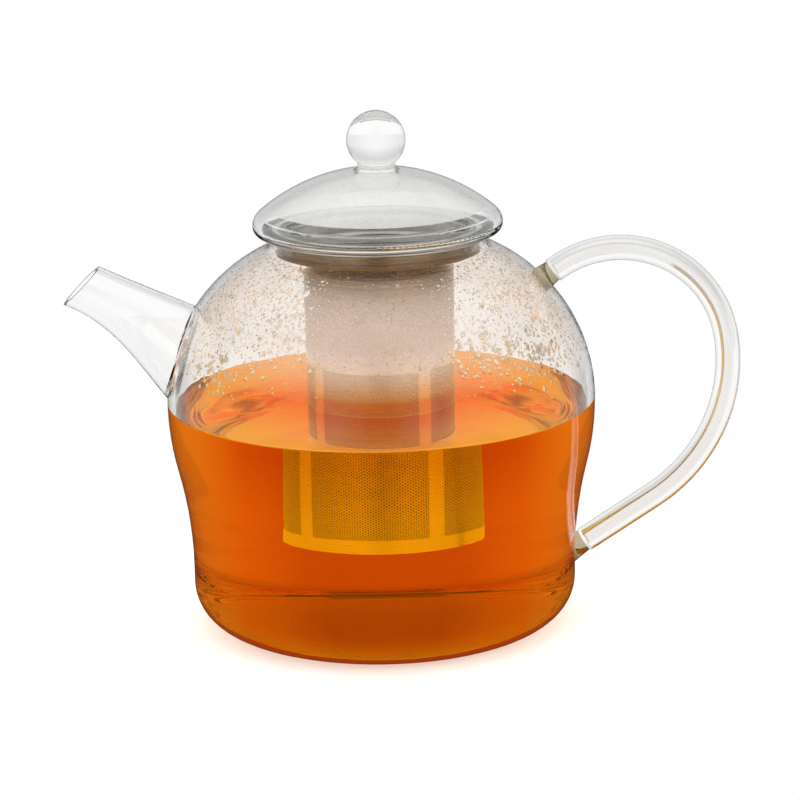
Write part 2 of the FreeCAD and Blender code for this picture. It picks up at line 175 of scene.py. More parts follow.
def inner_radius(height):
    """Radius of the pot's inner face at a height."""
    if height >= BELLY_HEIGHT:
        reach = DOME_RADIUS - GLASS_WALL
        return BELLY_RADIUS - DOME_RADIUS + math.sqrt(reach ** 2 - (height - BELLY_HEIGHT) ** 2)
    if height >= TURN_HEIGHT:
        reach = UNDERBELLY_RADIUS - GLASS_WALL
        return BELLY_RADIUS - UNDERBELLY_RADIUS + math.sqrt(reach ** 2 - (height - BELLY_HEIGHT) ** 2)
    if height >= WAIST_HEIGHT:
        reach = FLARE_RADIUS + GLASS_WALL
        return WAIST_RADIUS + FLARE_RADIUS - math.sqrt(reach ** 2 - (height - WAIST_HEIGHT) ** 2)
    corner = BASE_CORNER_RADIUS - GLASS_WALL
    corner_height = BASE_THICKNESS + corner
    if height >= corner_height:
        return WAIST_RADIUS - GLASS_WALL
    drop = min(corner_height - height, corner)
    return WAIST_RADIUS - GLASS_WALL - corner + math.sqrt(corner ** 2 - drop ** 2)


def from_spout_axis(point):
    """Distance of a point from the line of the spout's bore."""
    along = Vector((-math.cos(SPOUT_ANGLE), 0.0, math.sin(SPOUT_ANGLE)))
    offset = Vector(point) - SPOUT_ROOT
    return (offset - along * offset.dot(along)).length


# Node helpers. A value is a constant or another node's output
def new_material(name):
    """Empty node material, its tree and its output node."""
    material = bpy.data.materials.new(name)
    material.use_nodes = True
    tree = material.node_tree
    tree.nodes.clear()
    return material, tree, tree.nodes.new("ShaderNodeOutputMaterial")


def feed(tree, value, socket):
    """Give a socket a value."""
    if isinstance(value, bpy.types.NodeSocket):
        tree.links.new(value, socket)
    else:
        socket.default_value = value


def node(tree, kind, **inputs):
    """New node with some of its inputs fed. An underscore stands for a space in an input's name."""
    made = tree.nodes.new(kind)
    for key, value in inputs.items():
        feed(tree, value, made.inputs[key.replace("_", " ")])
    return made


def calculated(tree, operation, *values):
    """Result of a calculation on one or two values."""
    made = tree.nodes.new("ShaderNodeMath")
    made.operation = operation
    for socket, value in zip(made.inputs, values):
        feed(tree, value, socket)
    return made.outputs["Value"]


def vector_result(tree, operation, result, *vectors):
    """Named result of a calculation on one or two vectors."""
    made = tree.nodes.new("ShaderNodeVectorMath")
    made.operation = operation
    for socket, vector in zip(made.inputs, vectors):
        feed(tree, vector, socket)
    return made.outputs[result]


def own_place(tree):
    """Place on the piece in its own coordinates."""
    return tree.nodes.new("ShaderNodeTexCoord").outputs["Object"]


def split(tree, vector):
    """Vector as X, Y and Z."""
    return node(tree, "ShaderNodeSeparateXYZ", Vector=vector).outputs


def off_axis(tree, place):
    """Way from the axis to a place, on the level."""
    return vector_result(tree, "MULTIPLY", "Vector", place, (1.0, 1.0, 0.0))


def light_path(tree):
    """What is known of the light's path."""
    return tree.nodes.new("ShaderNodeLightPath").outputs


def mirrored_sharply(tree, path):
    """1 for light that comes from a clear mirror, such as a glass face."""
    return calculated(tree, "MULTIPLY", path["Is Reflection Ray"], path["Is Singular Ray"])


def noise(tree, scale, detail=2.0, stretch=(1.0, 1.0, 1.0)):
    """Noise over the piece's own coordinates, stretched along the axes."""
    mapping = node(tree, "ShaderNodeMapping", Vector=own_place(tree), Scale=stretch)
    texture = node(tree, "ShaderNodeTexNoise", Vector=mapping.outputs["Vector"], Scale=scale, Detail=detail)
    return texture.outputs["Fac"]


def ranged(tree, value, low, high, out_low, out_high):
    """Value moved from one range to another, held at the ends."""
    mapped = node(tree, "ShaderNodeMapRange", Value=value, From_Min=low, From_Max=high,
                  To_Min=out_low, To_Max=out_high)
    return mapped.outputs["Result"]


def rising(tree, length, low, high):
    """0 up to a length in millimetres, and from there to 1 at a longer one."""
    return ranged(tree, length, low * MM, high * MM, 0.0, 1.0)


def falling(tree, length, low, high):
    """1 up to a length in millimetres, and from there to 0 at a longer one."""
    return ranged(tree, length, low * MM, high * MM, 1.0, 0.0)


def mixed(tree, share, first, second, blend="MIX"):
    """Colour between two as a share goes from 0 to 1."""
    made = tree.nodes.new("ShaderNodeMix")
    made.data_type = "RGBA"
    made.blend_type = blend
    for key, value in (("Factor", share), ("A", first), ("B", second)):
        feed(tree, value, made.inputs[key])
    return made.outputs["Result"]


def ramped(tree, value, stops):
    """Colour that goes through stops of (place, colour) as a value goes from 0 to 1."""
    ramp = tree.nodes.new("ShaderNodeValToRGB")
    elements = ramp.color_ramp.elements
    while len(elements) < len(stops):
        elements.new(0.5)
    for element, (spot, colour) in zip(elements, stops):
        element.position = spot
        element.color = colour
    feed(tree, value, ramp.inputs["Fac"])
    return ramp.outputs["Color"]


def tinted(tree, value, low, high):
    """Colour between two as a value goes from 0 to 1."""
    return ramped(tree, value, ((0.0, low), (1.0, high)))


def bumped(tree, value, strength, depth):
    """Normal pushed in and out by a value."""
    return node(tree, "ShaderNodeBump", Height=value, Strength=strength, Distance=depth).outputs["Normal"]


def blended(tree, share, first, second):
    """Shader between two as a share goes from 0 to 1."""
    made = tree.nodes.new("ShaderNodeMixShader")
    for socket, value in zip(made.inputs, (share, first, second)):
        feed(tree, value, socket)
    return made.outputs["Shader"]


def lamp_passing(tree, shader, colour, output):
    """Send a shader to the output, and let lamps shine through it."""
    passing = node(tree, "ShaderNodeBsdfTransparent", Color=colour)
    shown = blended(tree, light_path(tree)["Is Shadow Ray"], shader, passing.outputs["BSDF"])
    feed(tree, shown, output.inputs["Surface"])


# Glass. Tints come in pairs, between which a look wanders
GLASS_IOR = 1.47
WATER_IOR = 1.333
GLASS_TINTS = ((0.98, 0.985, 0.98, 1), (0.995, 0.998, 0.995, 1))
WELD_TINTS = ((0.34, 0.29, 0.17, 1), (0.60, 0.52, 0.36, 1))
# The bore's warm grey is a painted shade of the handle
BORE_TINTS = ((0.88, 0.85, 0.82, 1), (0.93, 0.91, 0.88, 1))
# Painted dark line of shade and reflected tea, along the bore's inside
BORE_LINE_PAINTED_SHADE_TINTS = ((0.18, 0.14, 0.10, 1), (0.32, 0.26, 0.20, 1))
GLASS_TO_LAMPS = (0.94, 0.945, 0.94, 1)
WAVE_SCALE = 24.0
WAVE_STRENGTH = 0.06
WAVE_DEPTH = 0.002
# Share of the wall's thickness, from outside, at which the dry outer face gives way to the wetted inner face
MASK_DEPTH = 0.58


def dry_face(tree):
    """1 on the pot's outer face and above the tea, 0 where tea wets the inner face."""
    place = own_place(tree)
    parts = split(tree, place)
    radius = vector_result(tree, "LENGTH", "Value", off_axis(tree, place))
    corner_axis = (WAIST_RADIUS - BASE_CORNER_RADIUS) * MM
    corner_height = (BASE_CORNER_RADIUS + GLASS_WALL / 4) * MM
    out = calculated(tree, "MAXIMUM", calculated(tree, "SUBTRACT", radius, corner_axis), 0.0)
    down = calculated(tree, "MAXIMUM", calculated(tree, "SUBTRACT", corner_height, parts["Z"]), 0.0)
    squares = [calculated(tree, "MULTIPLY", side, side) for side in (out, down)]
    reach = calculated(tree, "SQRT", calculated(tree, "ADD", *squares))
    flare = ranged(tree, parts["Z"], WAIST_HEIGHT * MM, BELLY_HEIGHT * MM,
                   0.0, (BELLY_RADIUS - WAIST_RADIUS) * MM)
    middle = calculated(tree, "ADD", flare, (BASE_CORNER_RADIUS - MASK_DEPTH * GLASS_WALL) * MM)
    outer = calculated(tree, "GREATER_THAN", reach, middle)
    above = calculated(tree, "GREATER_THAN", parts["Z"], (TEA_LEVEL + MENISCUS_RISE) * MM)
    return calculated(tree, "MAXIMUM", outer, above)


def clear_glass(name, tints=GLASS_TINTS, wetted=False):
    """Blown glass: clear, with a faint waviness in its faces.

    Wetted glass bends light less where tea lies on it.
    """
    material, tree, output = new_material(name)
    waves = noise(tree, WAVE_SCALE)
    clear = node(tree, "ShaderNodeBsdfPrincipled", IOR=GLASS_IOR, Transmission_Weight=1.0, Roughness=0.0,
                 Base_Color=tinted(tree, waves, *tints),
                 Normal=bumped(tree, waves, WAVE_STRENGTH, WAVE_DEPTH))
    if wetted:
        bend = ranged(tree, dry_face(tree), 0.0, 1.0, GLASS_IOR / WATER_IOR, GLASS_IOR)
        feed(tree, bend, clear.inputs["IOR"])
    lamp_passing(tree, clear.outputs["BSDF"], GLASS_TO_LAMPS, output)
    return material


# Steel. Levels are heights at which a look starts, is full, begins to fade and ends
STEEL_TINTS = ((0.84, 0.82, 0.77, 1), (0.93, 0.91, 0.87, 1))
STEEL_ROUGHNESS = (0.24, 0.3)
ETCHED_TINTS = ((0.68, 0.66, 0.61, 1), (0.78, 0.75, 0.70, 1))
ETCHED_ROUGHNESS = (0.26, 0.3)
GRAIN_SCALE = 60.0
GRAIN_DETAIL = 3.0
GRAIN_STRETCH = (1.0, 1.0, 60.0)
GRAIN_STRENGTH = 0.003
GRAIN_DEPTH = 0.0001
MARK_SCALE = 90.0
MARK_DETAIL = 4.0
NOISE_SPAN = (0.3, 0.7)
# Painted brown shade, with a painted reflection of the tea, on the collar
COLLAR_PAINTED_SHADE_LEVELS = (100.0, 122.0, 138.0, 141.0)
COLLAR_PAINTED_SHADE_TINTS = ((0.11, 0.06, 0.02, 1), (0.28, 0.17, 0.08, 1))
# Fine mist on the sleeve above the tea. Its dark pinkish brown is painted shade and painted amber light of
# the tea
FOG_LEVELS = (88.0, 104.0, 114.0, 126.0)
FOG_COVER = 0.8
FOG_ROUGHNESS = 0.55
MIST_PAINTED_SHADE_TINTS = ((0.46, 0.32, 0.25, 1), (0.60, 0.45, 0.37, 1))
# Film of tea, full up to a height above the tea's level and gone at a second. On faces that look towards the
# axis its colour is a painted dark shade of the basket's inside
FILM_FULL = 6.0
FILM_END = 20.0
PAINTED_SHADE_INSIDE = (0.30, 0.17, 0.05, 1)
FILM_OUTSIDE = (1.0, 0.90, 0.60, 1)
# Steel seen from above the tea: amber under the surface and where a film climbs it, then a painted amber
# light of the tea that fades.
# Light has crossed two faces of the dome by then, and the tea's surface too if the steel is under it
FROM_ABOVE_AND_PAINTED_TEA_LIGHT_TINTS = (
    (0.0, (0.95, 0.42, 0.10, 1)),
    (0.17, (0.95, 0.42, 0.12, 1)),
    (0.24, (0.97, 0.70, 0.50, 1)),
    (1.0, WHITE),
)
PAINTED_TEA_LIGHT_HEIGHT = 26.0
CROSSED_TO_AIR = 1.5
CROSSED_TO_TEA = 2.5


def faces_outward(tree, place):
    """1 on faces that look away from the axis, 0 on faces that look towards it."""
    normal = tree.nodes.new("ShaderNodeNewGeometry").outputs["Normal"]
    away = vector_result(tree, "DOT_PRODUCT", "Value", off_axis(tree, place), normal)
    return calculated(tree, "GREATER_THAN", away, 0.0)


def stainless(name, tints, roughness):
    """Stainless sheet, brushed round the axis, with faint water marks and a film of tea. In the tea, its
    inward faces have painted shade.

    Above the tea, its outside has a mist on the sleeve, darkened by painted shade and painted amber light of
    the tea, and painted brown shade with a painted reflection of the tea on the collar. Seen from above, it
    takes a painted amber light of the tea that fades upwards.
    """
    material, tree, output = new_material(name)
    grain = noise(tree, GRAIN_SCALE, GRAIN_DETAIL, GRAIN_STRETCH)
    marks = noise(tree, MARK_SCALE, MARK_DETAIL)
    place = own_place(tree)
    parts = split(tree, place)
    outside = faces_outward(tree, place)

    def banded(start, full, fade, end):
        """1 on outward faces between two heights, easing in and out."""
        shown = calculated(tree, "MULTIPLY", rising(tree, parts["Z"], start, full),
                           falling(tree, parts["Z"], fade, end))
        return calculated(tree, "MULTIPLY", shown, outside)

    filmed = falling(tree, parts["Z"], TEA_LEVEL + FILM_FULL, TEA_LEVEL + FILM_END)
    # Tea film outside, painted dark shade on the inward faces
    tea_film_and_painted_shade = mixed(tree, filmed, tinted(tree, marks, *tints),
                   tinted(tree, outside, PAINTED_SHADE_INSIDE, FILM_OUTSIDE), "MULTIPLY")
    crossed = ranged(tree, parts["Z"], TEA_LEVEL * MM, (TEA_LEVEL + TEA_SOAK) * MM,
                     CROSSED_TO_TEA, CROSSED_TO_AIR)
    from_above = calculated(tree, "GREATER_THAN", light_path(tree)["Transmission Depth"], crossed)
    above = rising(tree, parts["Z"], TEA_LEVEL, TEA_LEVEL + PAINTED_TEA_LIGHT_HEIGHT)
    # Painted amber light of the tea on the steel above it, fading upwards
    tea_light_painted = mixed(tree, from_above, tea_film_and_painted_shade, ramped(tree, above, FROM_ABOVE_AND_PAINTED_TEA_LIGHT_TINTS), "MULTIPLY")
    # Painted brown shade and reflected tea on the collar's outside
    collar_shade_painted = mixed(tree, banded(*COLLAR_PAINTED_SHADE_LEVELS), tea_light_painted, tinted(tree, marks, *COLLAR_PAINTED_SHADE_TINTS), "MULTIPLY")
    fogged = banded(*FOG_LEVELS)
    # The mist's colour carries painted shade and painted amber light of the tea
    mist_with_painted_shade = mixed(tree, calculated(tree, "MULTIPLY", fogged, FOG_COVER), collar_shade_painted,
                   tinted(tree, marks, *MIST_PAINTED_SHADE_TINTS))
    matt = calculated(tree, "MAXIMUM", ranged(tree, grain, *NOISE_SPAN, *roughness),
                      calculated(tree, "MULTIPLY", fogged, FOG_ROUGHNESS))
    sheet = node(tree, "ShaderNodeBsdfPrincipled", Metallic=1.0, Base_Color=mist_with_painted_shade, Roughness=matt,
                 Normal=bumped(tree, grain, GRAIN_STRENGTH, GRAIN_DEPTH))
    feed(tree, ranged(tree, fogged, 0.0, 1.0, 1.0, 1.0 - FOG_COVER), sheet.inputs["Metallic"])
    feed(tree, sheet.outputs["BSDF"], output.inputs["Surface"])
    return material


# Tea. It takes a colour once where light comes in and once where it goes out, and a little more in between
TEA_VOLUME = (0.99, 0.83, 0.0, 1)
TEA_DENSITY = 3.0
TEA_CLEAR = (1.0, 0.98, 0.96, 1)
SWIRL_SCALE = 30.0
SWIRL_STRENGTH = 0.03
SWIRL_DEPTH = 0.001
# Surface under air: strong within a number of basket radii and weak beyond another. Most of it doesn't mirror
SURFACE_FACE = (1.0, 0.97, 0.94, 1)
SURFACE_CALM = 0.97
TEA_AMBER = (0.97, 0.5, 0.13, 1)
TEA_STRONG = (0.98, 0.40, 0.04, 1)
TEA_WEAK = (1.0, 0.80, 0.42, 1)
STRONG_WITHIN = 1.2
WEAK_BEYOND = 2.4
# Near side against the glass, from the base to the tea's level, and towards the spout and the handle
TEA_NEAR = (
    (0.0, (0.92, 0.31, 0.002, 1)),
    (0.28, (0.96, 0.335, 0.003, 1)),
    (0.42, (1.0, 0.41, 0.004, 1)),
    (0.7, (1.0, 0.395, 0.004, 1)),
    (0.96, (0.84, 0.255, 0.002, 1)),
)
TEA_NEAR_BESIDE = (1.0, 0.60, 0.02, 1)
NEAR_BESIDE_FROM = 46.0
NEAR_BESIDE_FULL = 66.0
# Far side against the glass, in the middle and beside it. Light that comes in by the surface takes the under
# colour instead, and it has crossed one more face than light that comes in by the wall
TEA_FAR = (0.62, 0.175, 0.1, 1)
TEA_FAR_BESIDE = (1.0, 0.42, 0.4, 1)
FAR_BESIDE_FROM = 15.0
FAR_BESIDE_FULL = 40.0
TEA_UNDER = (1.0, 0.48, 0.07, 1)
CROSSED_BY_WALL = 3.5


def tea_liquid(name, face):
    """Material of a clear liquid that deepens a little with depth, and its clear-faced shader."""
    material, tree, output = new_material(name)
    depth = node(tree, "ShaderNodeVolumeAbsorption", Color=TEA_VOLUME, Density=TEA_DENSITY)
    feed(tree, depth.outputs["Volume"], output.inputs["Volume"])
    swirl = noise(tree, SWIRL_SCALE)
    liquid = node(tree, "ShaderNodeBsdfPrincipled", IOR=WATER_IOR, Transmission_Weight=1.0, Roughness=0.0,
                  Base_Color=tinted(tree, swirl, face, TEA_CLEAR),
                  Normal=bumped(tree, swirl, SWIRL_STRENGTH, SWIRL_DEPTH))
    return material, tree, output, liquid.outputs["BSDF"]


def open_tea(name):
    """Tea under air, strong near the basket and weak near the glass.

    In mirrors it has its whole colour. Seen through the pot, it takes a part there and the rest at the glass
    behind it.
    """
    material, tree, output, liquid = tea_liquid(name, SURFACE_FACE)
    reach = vector_result(tree, "LENGTH", "Value", off_axis(tree, own_place(tree)))
    thinning = rising(tree, reach, STRONG_WITHIN * BASKET_RADIUS, WEAK_BEYOND * BASKET_RADIUS)
    entry = mixed(tree, light_path(tree)["Is Transmission Ray"], TEA_AMBER,
                  tinted(tree, thinning, TEA_STRONG, TEA_WEAK))
    through = node(tree, "ShaderNodeBsdfRefraction", IOR=WATER_IOR, Roughness=0.0, Color=entry)
    from_below = tree.nodes.new("ShaderNodeNewGeometry").outputs["Backfacing"]
    calm = ranged(tree, from_below, 0.0, 1.0, SURFACE_CALM, 0.0)
    lamp_passing(tree, blended(tree, calm, liquid, through.outputs["BSDF"]), WHITE, output)
    return material


def tea_on_glass(name):
    """Tea against the pot. Light goes straight over between glass and tea.

    On its way in it takes the near colour. On its way out it takes the far colour, or the under colour if it
    came in by the surface. Light that the glass throws back takes no more.
    """
    material, tree, output, liquid = tea_liquid(name, TEA_AMBER)
    parts = split(tree, own_place(tree))
    path = light_path(tree)
    mirrored = path["Is Reflection Ray"]
    turned_back = calculated(tree, "MINIMUM", path["Glossy Depth"], 1.0)
    by_surface = calculated(tree, "GREATER_THAN", path["Transmission Depth"], CROSSED_BY_WALL)
    height = rising(tree, parts["Z"], 0.0, TEA_LEVEL)
    aside = calculated(tree, "ABSOLUTE", parts["X"])
    near = mixed(tree, rising(tree, aside, NEAR_BESIDE_FROM, NEAR_BESIDE_FULL),
                 ramped(tree, height, TEA_NEAR), TEA_NEAR_BESIDE)
    far = mixed(tree, rising(tree, aside, FAR_BESIDE_FROM, FAR_BESIDE_FULL), TEA_FAR, TEA_FAR_BESIDE)
    way_in = mixed(tree, mirrored, near, WHITE)
    way_out = mixed(tree, turned_back, mixed(tree, by_surface, far, TEA_UNDER), WHITE)
    from_inside = tree.nodes.new("ShaderNodeNewGeometry").outputs["Backfacing"]
    across = node(tree, "ShaderNodeBsdfTransparent", Color=mixed(tree, from_inside, way_in, way_out))
    in_glass = calculated(tree, "MAXIMUM", path["Is Transmission Ray"], mirrored)
    lamp_passing(tree, blended(tree, in_glass, liquid, across.outputs["BSDF"]), WHITE, output)
    return material


# Condensed water: beads, tinted gold over the tea by painted amber light of the tea and clear towards the
# neck, and haze
BEAD_LOW = 96.0
BEAD_HIGH = 132.0
BEAD_PAINTED_TEA_LIGHT_TINTS = (
    (0.0, (1.0, 0.80, 0.50, 1)),
    (0.3, (0.99, 0.88, 0.70, 1)),
    (0.6, (0.96, 0.94, 0.91, 1)),
)
BEAD_DRIFT_TINTS = ((0.9, 0.88, 0.84, 1), WHITE)
BEAD_DRIFT_SCALE = 200.0
BEADS_TO_LAMPS = (0.97, 0.97, 0.97, 1)
HAZE_ROUGHNESS = 0.6
HAZE_SHEEN = 0.3
PATCH_SCALE = 70.0
PATCH_DETAIL = 3.0
PATCH_SHARES = (0.7, 1.0)
SPECKLE_SCALE = 1100.0
SPECKLE_SPAN = (0.2, 0.6)
SPECKLE_SHARES = (1.0, 0.7)
SPECKLE_STRENGTH = 0.3
SPECKLE_DEPTH = 0.0003


def water_beads(name):
    """Condensed water, tinted gold over the tea by painted amber light of the tea, and clear towards the
    neck.
    """
    material, tree, output = new_material(name)
    height = rising(tree, split(tree, own_place(tree))["Z"], BEAD_LOW, BEAD_HIGH)
    drift = tinted(tree, noise(tree, BEAD_DRIFT_SCALE), *BEAD_DRIFT_TINTS)
    drops = node(tree, "ShaderNodeBsdfPrincipled", IOR=WATER_IOR, Transmission_Weight=1.0, Roughness=0.0,
                 Base_Color=mixed(tree, 1.0, ramped(tree, height, BEAD_PAINTED_TEA_LIGHT_TINTS), drift, "MULTIPLY"))
    lamp_passing(tree, drops.outputs["BSDF"], BEADS_TO_LAMPS, output)
    return material


def steam_film(name, levels, covers, tints, lit):
    """Haze of fine beads on glass, between a least and a largest cover.

    levels are the heights where it starts, is full, begins to clear and ends. It turns from the first tint to
    the second as it clears. lit is the share of its light that comes from behind it.
    """
    material, tree, output = new_material(name)
    place = own_place(tree)
    height = split(tree, place)["Z"]
    start, full, clearing, end = levels
    rise = rising(tree, height, start, full)
    fall = rising(tree, height, clearing, end)
    patches = ranged(tree, noise(tree, PATCH_SCALE, PATCH_DETAIL), *NOISE_SPAN, *PATCH_SHARES)
    cells = node(tree, "ShaderNodeTexVoronoi", Vector=place, Scale=SPECKLE_SCALE)
    speckle = ranged(tree, cells.outputs["Distance"], *SPECKLE_SPAN, *SPECKLE_SHARES)
    share = calculated(tree, "MULTIPLY", calculated(tree, "SUBTRACT", rise, fall), patches)
    spotted = calculated(tree, "MULTIPLY", share, speckle)
    colour = tinted(tree, calculated(tree, "MULTIPLY", fall, patches), *tints)
    film = node(tree, "ShaderNodeBsdfPrincipled", Roughness=HAZE_ROUGHNESS, Specular_IOR_Level=HAZE_SHEEN,
                Base_Color=colour, Normal=bumped(tree, speckle, SPECKLE_STRENGTH, SPECKLE_DEPTH))
    lit_through = node(tree, "ShaderNodeBsdfTranslucent", Color=colour)
    open_glass = node(tree, "ShaderNodeBsdfTransparent", Color=WHITE)
    scattered = blended(tree, lit, film.outputs["BSDF"], lit_through.outputs["BSDF"])
    cover = ranged(tree, spotted, 0.0, 1.0, *covers)
    feed(tree, blended(tree, cover, open_glass.outputs["BSDF"], scattered), output.inputs["Surface"])
    return material


glass = clear_glass("clear_glass_blown")
pot_glass = clear_glass("clear_glass_wetted", wetted=True)
weld_glass = clear_glass("clear_glass_weld", WELD_TINTS)
bore_glass = clear_glass("clear_glass_bore", BORE_TINTS)
bore_line_painted_shade_glass = clear_glass("clear_glass_bore_painted_shade_line", BORE_LINE_PAINTED_SHADE_TINTS)
steel = stainless("stainless_brushed", STEEL_TINTS, STEEL_ROUGHNESS)
etched_steel = stainless("stainless_etched", ETCHED_TINTS, ETCHED_ROUGHNESS)
tea_surface = open_tea("brewed_tea_surface")
tea_at_glass = tea_on_glass("brewed_tea_at_glass")
water = water_beads("condensed_water")

# CAD nodes that keep their shape
for name in ("spout", "lid_dome", "lid_skirt", "lid_knob"):
    nodes[name].material_slots[0].material = glass
for name in ("handle_upper_weld", "handle_lower_weld"):
    nodes[name].material_slots[0].material = weld_glass
nodes["pot_body"].material_slots[0].material = pot_glass
nodes["infuser_collar"].material_slots[0].material = steel


# Etched sheet: a honeycomb of through holes
def etched_sheet(cells, outside, inside):
    """Plate with a six-sided hole in each cell. outside and inside map flat (x, y) to the two faces."""
    points = []
    faces = []
    shared = {}
    border = {}
    cell_radius = HOLE_PITCH / math.sqrt(3)
    turns = [2 * math.pi * corner / HOLE_SIDES for corner in range(HOLE_SIDES)]

    def six_round(x, y, radius):
        """Corners of a hexagon round a place."""
        return [(x + radius * math.cos(turn), y + radius * math.sin(turn)) for turn in turns]

    def corner_pair(x, y):
        """Index of a cell's corner on the outside, which cells share. The one after it is inside."""
        key = (round(x, 3), round(y, 3))
        if key not in shared:
            shared[key] = len(points)
            points.extend((outside(x, y), inside(x, y)))
        return shared[key]

    for x, y in cells:
        edge = [corner_pair(*spot) for spot in six_round(x, y, cell_radius)]
        hole = []
        for spot in six_round(x, y, HOLE_RADIUS):
            hole.append(len(points))
            points.extend((outside(*spot), inside(*spot)))
        for corner in range(HOLE_SIDES):
            after = (corner + 1) % HOLE_SIDES
            faces.append([edge[corner], edge[after], hole[after], hole[corner]])
            faces.append([edge[after] + 1, edge[corner] + 1, hole[corner] + 1, hole[after] + 1])
            faces.append([hole[corner], hole[after], hole[after] + 1, hole[corner] + 1])
            ends = (edge[corner], edge[after])
            if border.pop(ends[::-1], None) is None:
                border[ends] = True
    faces += [[after, corner, corner + 1, after + 1] for corner, after in border]
    return points, faces


def honeycomb(width, height, keep):
    """Centres of upright staggered columns over a rectangle centred on the origin, where keep says so."""
    column_step = HOLE_PITCH * math.sqrt(3) / 2
    columns = int(width / 2 / column_step)
    rows = int(height / 2 / HOLE_PITCH) + 1
    centres = []
    for column in range(-columns, columns + 1):
        stagger = HOLE_PITCH / 2 if column % 2 else 0.0
        for row in range(-rows, rows + 1):
            x = column * column_step
            y = row * HOLE_PITCH + stagger
            if keep(x, y):
                centres.append((x, y))
    return centres


def etched_field(middle):
    """One curved field of the sleeve, tucked a little under the plain strips round it."""
    half_width = BASKET_RADIUS * FIELD_ANGLE / 2 + FIELD_TUCK
    field_height = FIELD_TOP - FIELD_BOTTOM + 2 * FIELD_TUCK
    centre_height = (FIELD_TOP + FIELD_BOTTOM) / 2
    cells = honeycomb(2 * half_width, field_height, lambda x, y: abs(y) < field_height / 2)

    def at(radius):
        """Map from the flat field to a face at a radius."""
        return lambda x, y: around(radius, middle + x / BASKET_RADIUS, centre_height + y)

    return etched_sheet(cells, at(BASKET_RADIUS - FIELD_RECESS), at(BASKET_RADIUS - FIELD_BACK))


def sleeve_frame(middles):
    """Rolled sheet with a window for each etched field."""
    levels = [SLEEVE_FOOT, FIELD_BOTTOM, FIELD_TOP, SLEEVE_TOP]
    strip = 2 * math.pi / FIELD_COUNT - FIELD_ANGLE
    angles = []
    open_columns = []
    for middle in middles:
        for step in range(FIELD_STEPS):
            angles.append(middle - FIELD_ANGLE / 2 + FIELD_ANGLE * step / FIELD_STEPS)
            open_columns.append(True)
        for step in range(STRIP_STEPS):
            angles.append(middle + FIELD_ANGLE / 2 + strip * step / STRIP_STEPS)
            open_columns.append(False)
    count = len(angles)
    points = []
    for radius in (BASKET_RADIUS, BASKET_RADIUS - STEEL_SHEET):
        for level in levels:
            points += [around(radius, angle, level) for angle in angles]
    back = len(levels) * count

    def spot(level, column):
        """Index of a point on the outside."""
        return level * count + column % count

    def plain(level, column):
        """Whether there is sheet above a level at a column."""
        return 0 <= level < len(levels) - 1 and not (level == 1 and open_columns[column % count])

    faces = []
    for level in range(len(levels) - 1):
        for column in range(count):
            if not plain(level, column):
                continue
            a = spot(level, column)
            b = spot(level, column + 1)
            c = spot(level + 1, column + 1)
            d = spot(level + 1, column)
            faces += [[a, b, c, d], [back + d, back + c, back + b, back + a]]
            if not plain(level - 1, column):
                faces.append([b, a, back + a, back + b])
            if not plain(level + 1, column):
                faces.append([d, c, back + c, back + d])
            if not plain(level, column - 1):
                faces.append([a, d, back + d, back + a])
            if not plain(level, column + 1):
                faces.append([c, b, back + b, back + c])
    return points, faces


def etch(piece, first_face):
    """Give the faces from one on the matt look of etched sheet."""
    piece.data.materials.append(etched_steel)
    for face in piece.data.polygons[first_face:]:
        face.material_index = 1


field_middles = [FIRST_FIELD_ANGLE + 2 * math.pi * field / FIELD_COUNT for field in range(FIELD_COUNT)]
frame_mesh = sleeve_frame(field_middles)
sleeve_parts = join(frame_mesh, *[etched_field(middle) for middle in field_middles])
sleeve = new_piece("infuser_sleeve_etched", *sleeve_parts, steel, "infuser")
etch(sleeve, len(frame_mesh[1]))
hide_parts("infuser_sleeve")

floor_width = 2 * (FLOOR_FIELD_RADIUS + FIELD_TUCK + HOLE_RADIUS)
floor_cells = honeycomb(floor_width, floor_width,
                        lambda x, y: math.hypot(x, y) < FLOOR_FIELD_RADIUS + FIELD_TUCK)
floor_field = etched_sheet(floor_cells,
                           lambda x, y: (x, y, SLEEVE_FOOT - FIELD_RECESS),
                           lambda x, y: (x, y, BASKET_FLOOR + FLOOR_SKIN))
base_ring = turned([
    (FLOOR_FIELD_RADIUS, BASKET_FLOOR),
    (BASKET_RADIUS, BASKET_FLOOR),
    (BASKET_RADIUS, SLEEVE_FOOT),
    (SPIGOT_OUTSIDE, SLEEVE_FOOT),
    (SPIGOT_OUTSIDE, SPIGOT_TOP),
    (SPIGOT_INSIDE, SPIGOT_TOP),
    (SPIGOT_INSIDE, SLEEVE_FOOT),
    (FLOOR_FIELD_RADIUS, SLEEVE_FOOT),
], closed=True)
base = new_piece("infuser_base_etched", *join(base_ring, floor_field), steel, "infuser")
etch(base, len(base_ring[1]))
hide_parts("infuser_base")


# Tea: fills the pot to its level and creeps up the glass at the edge
def tea_outline(rise_steps=10, wall_steps=60):
    """Outline from the middle of the floor, out to the wall, up it and in along the surface."""
    edge = inner_radius(TEA_LEVEL)
    outline = [(0.0, TEA_LEVEL), (edge / 2, TEA_LEVEL)]
    for step in range(rise_steps + 1):
        inset = 4 * MENISCUS_REACH * (1 - step / rise_steps) ** 2
        outline.append((edge - inset, TEA_LEVEL + MENISCUS_RISE * math.exp(-inset / MENISCUS_REACH)))
    top = TEA_LEVEL + MENISCUS_RISE
    for step in range(wall_steps + 1):
        fall = math.sin(math.pi / 2 * step / wall_steps)
        height = top - (top - BASE_THICKNESS) * fall
        outline.append((inner_radius(height) + TEA_SOAK, height - TEA_SOAK * fall))
    outline.append((0.0, BASE_THICKNESS - TEA_SOAK))
    return outline[::-1]


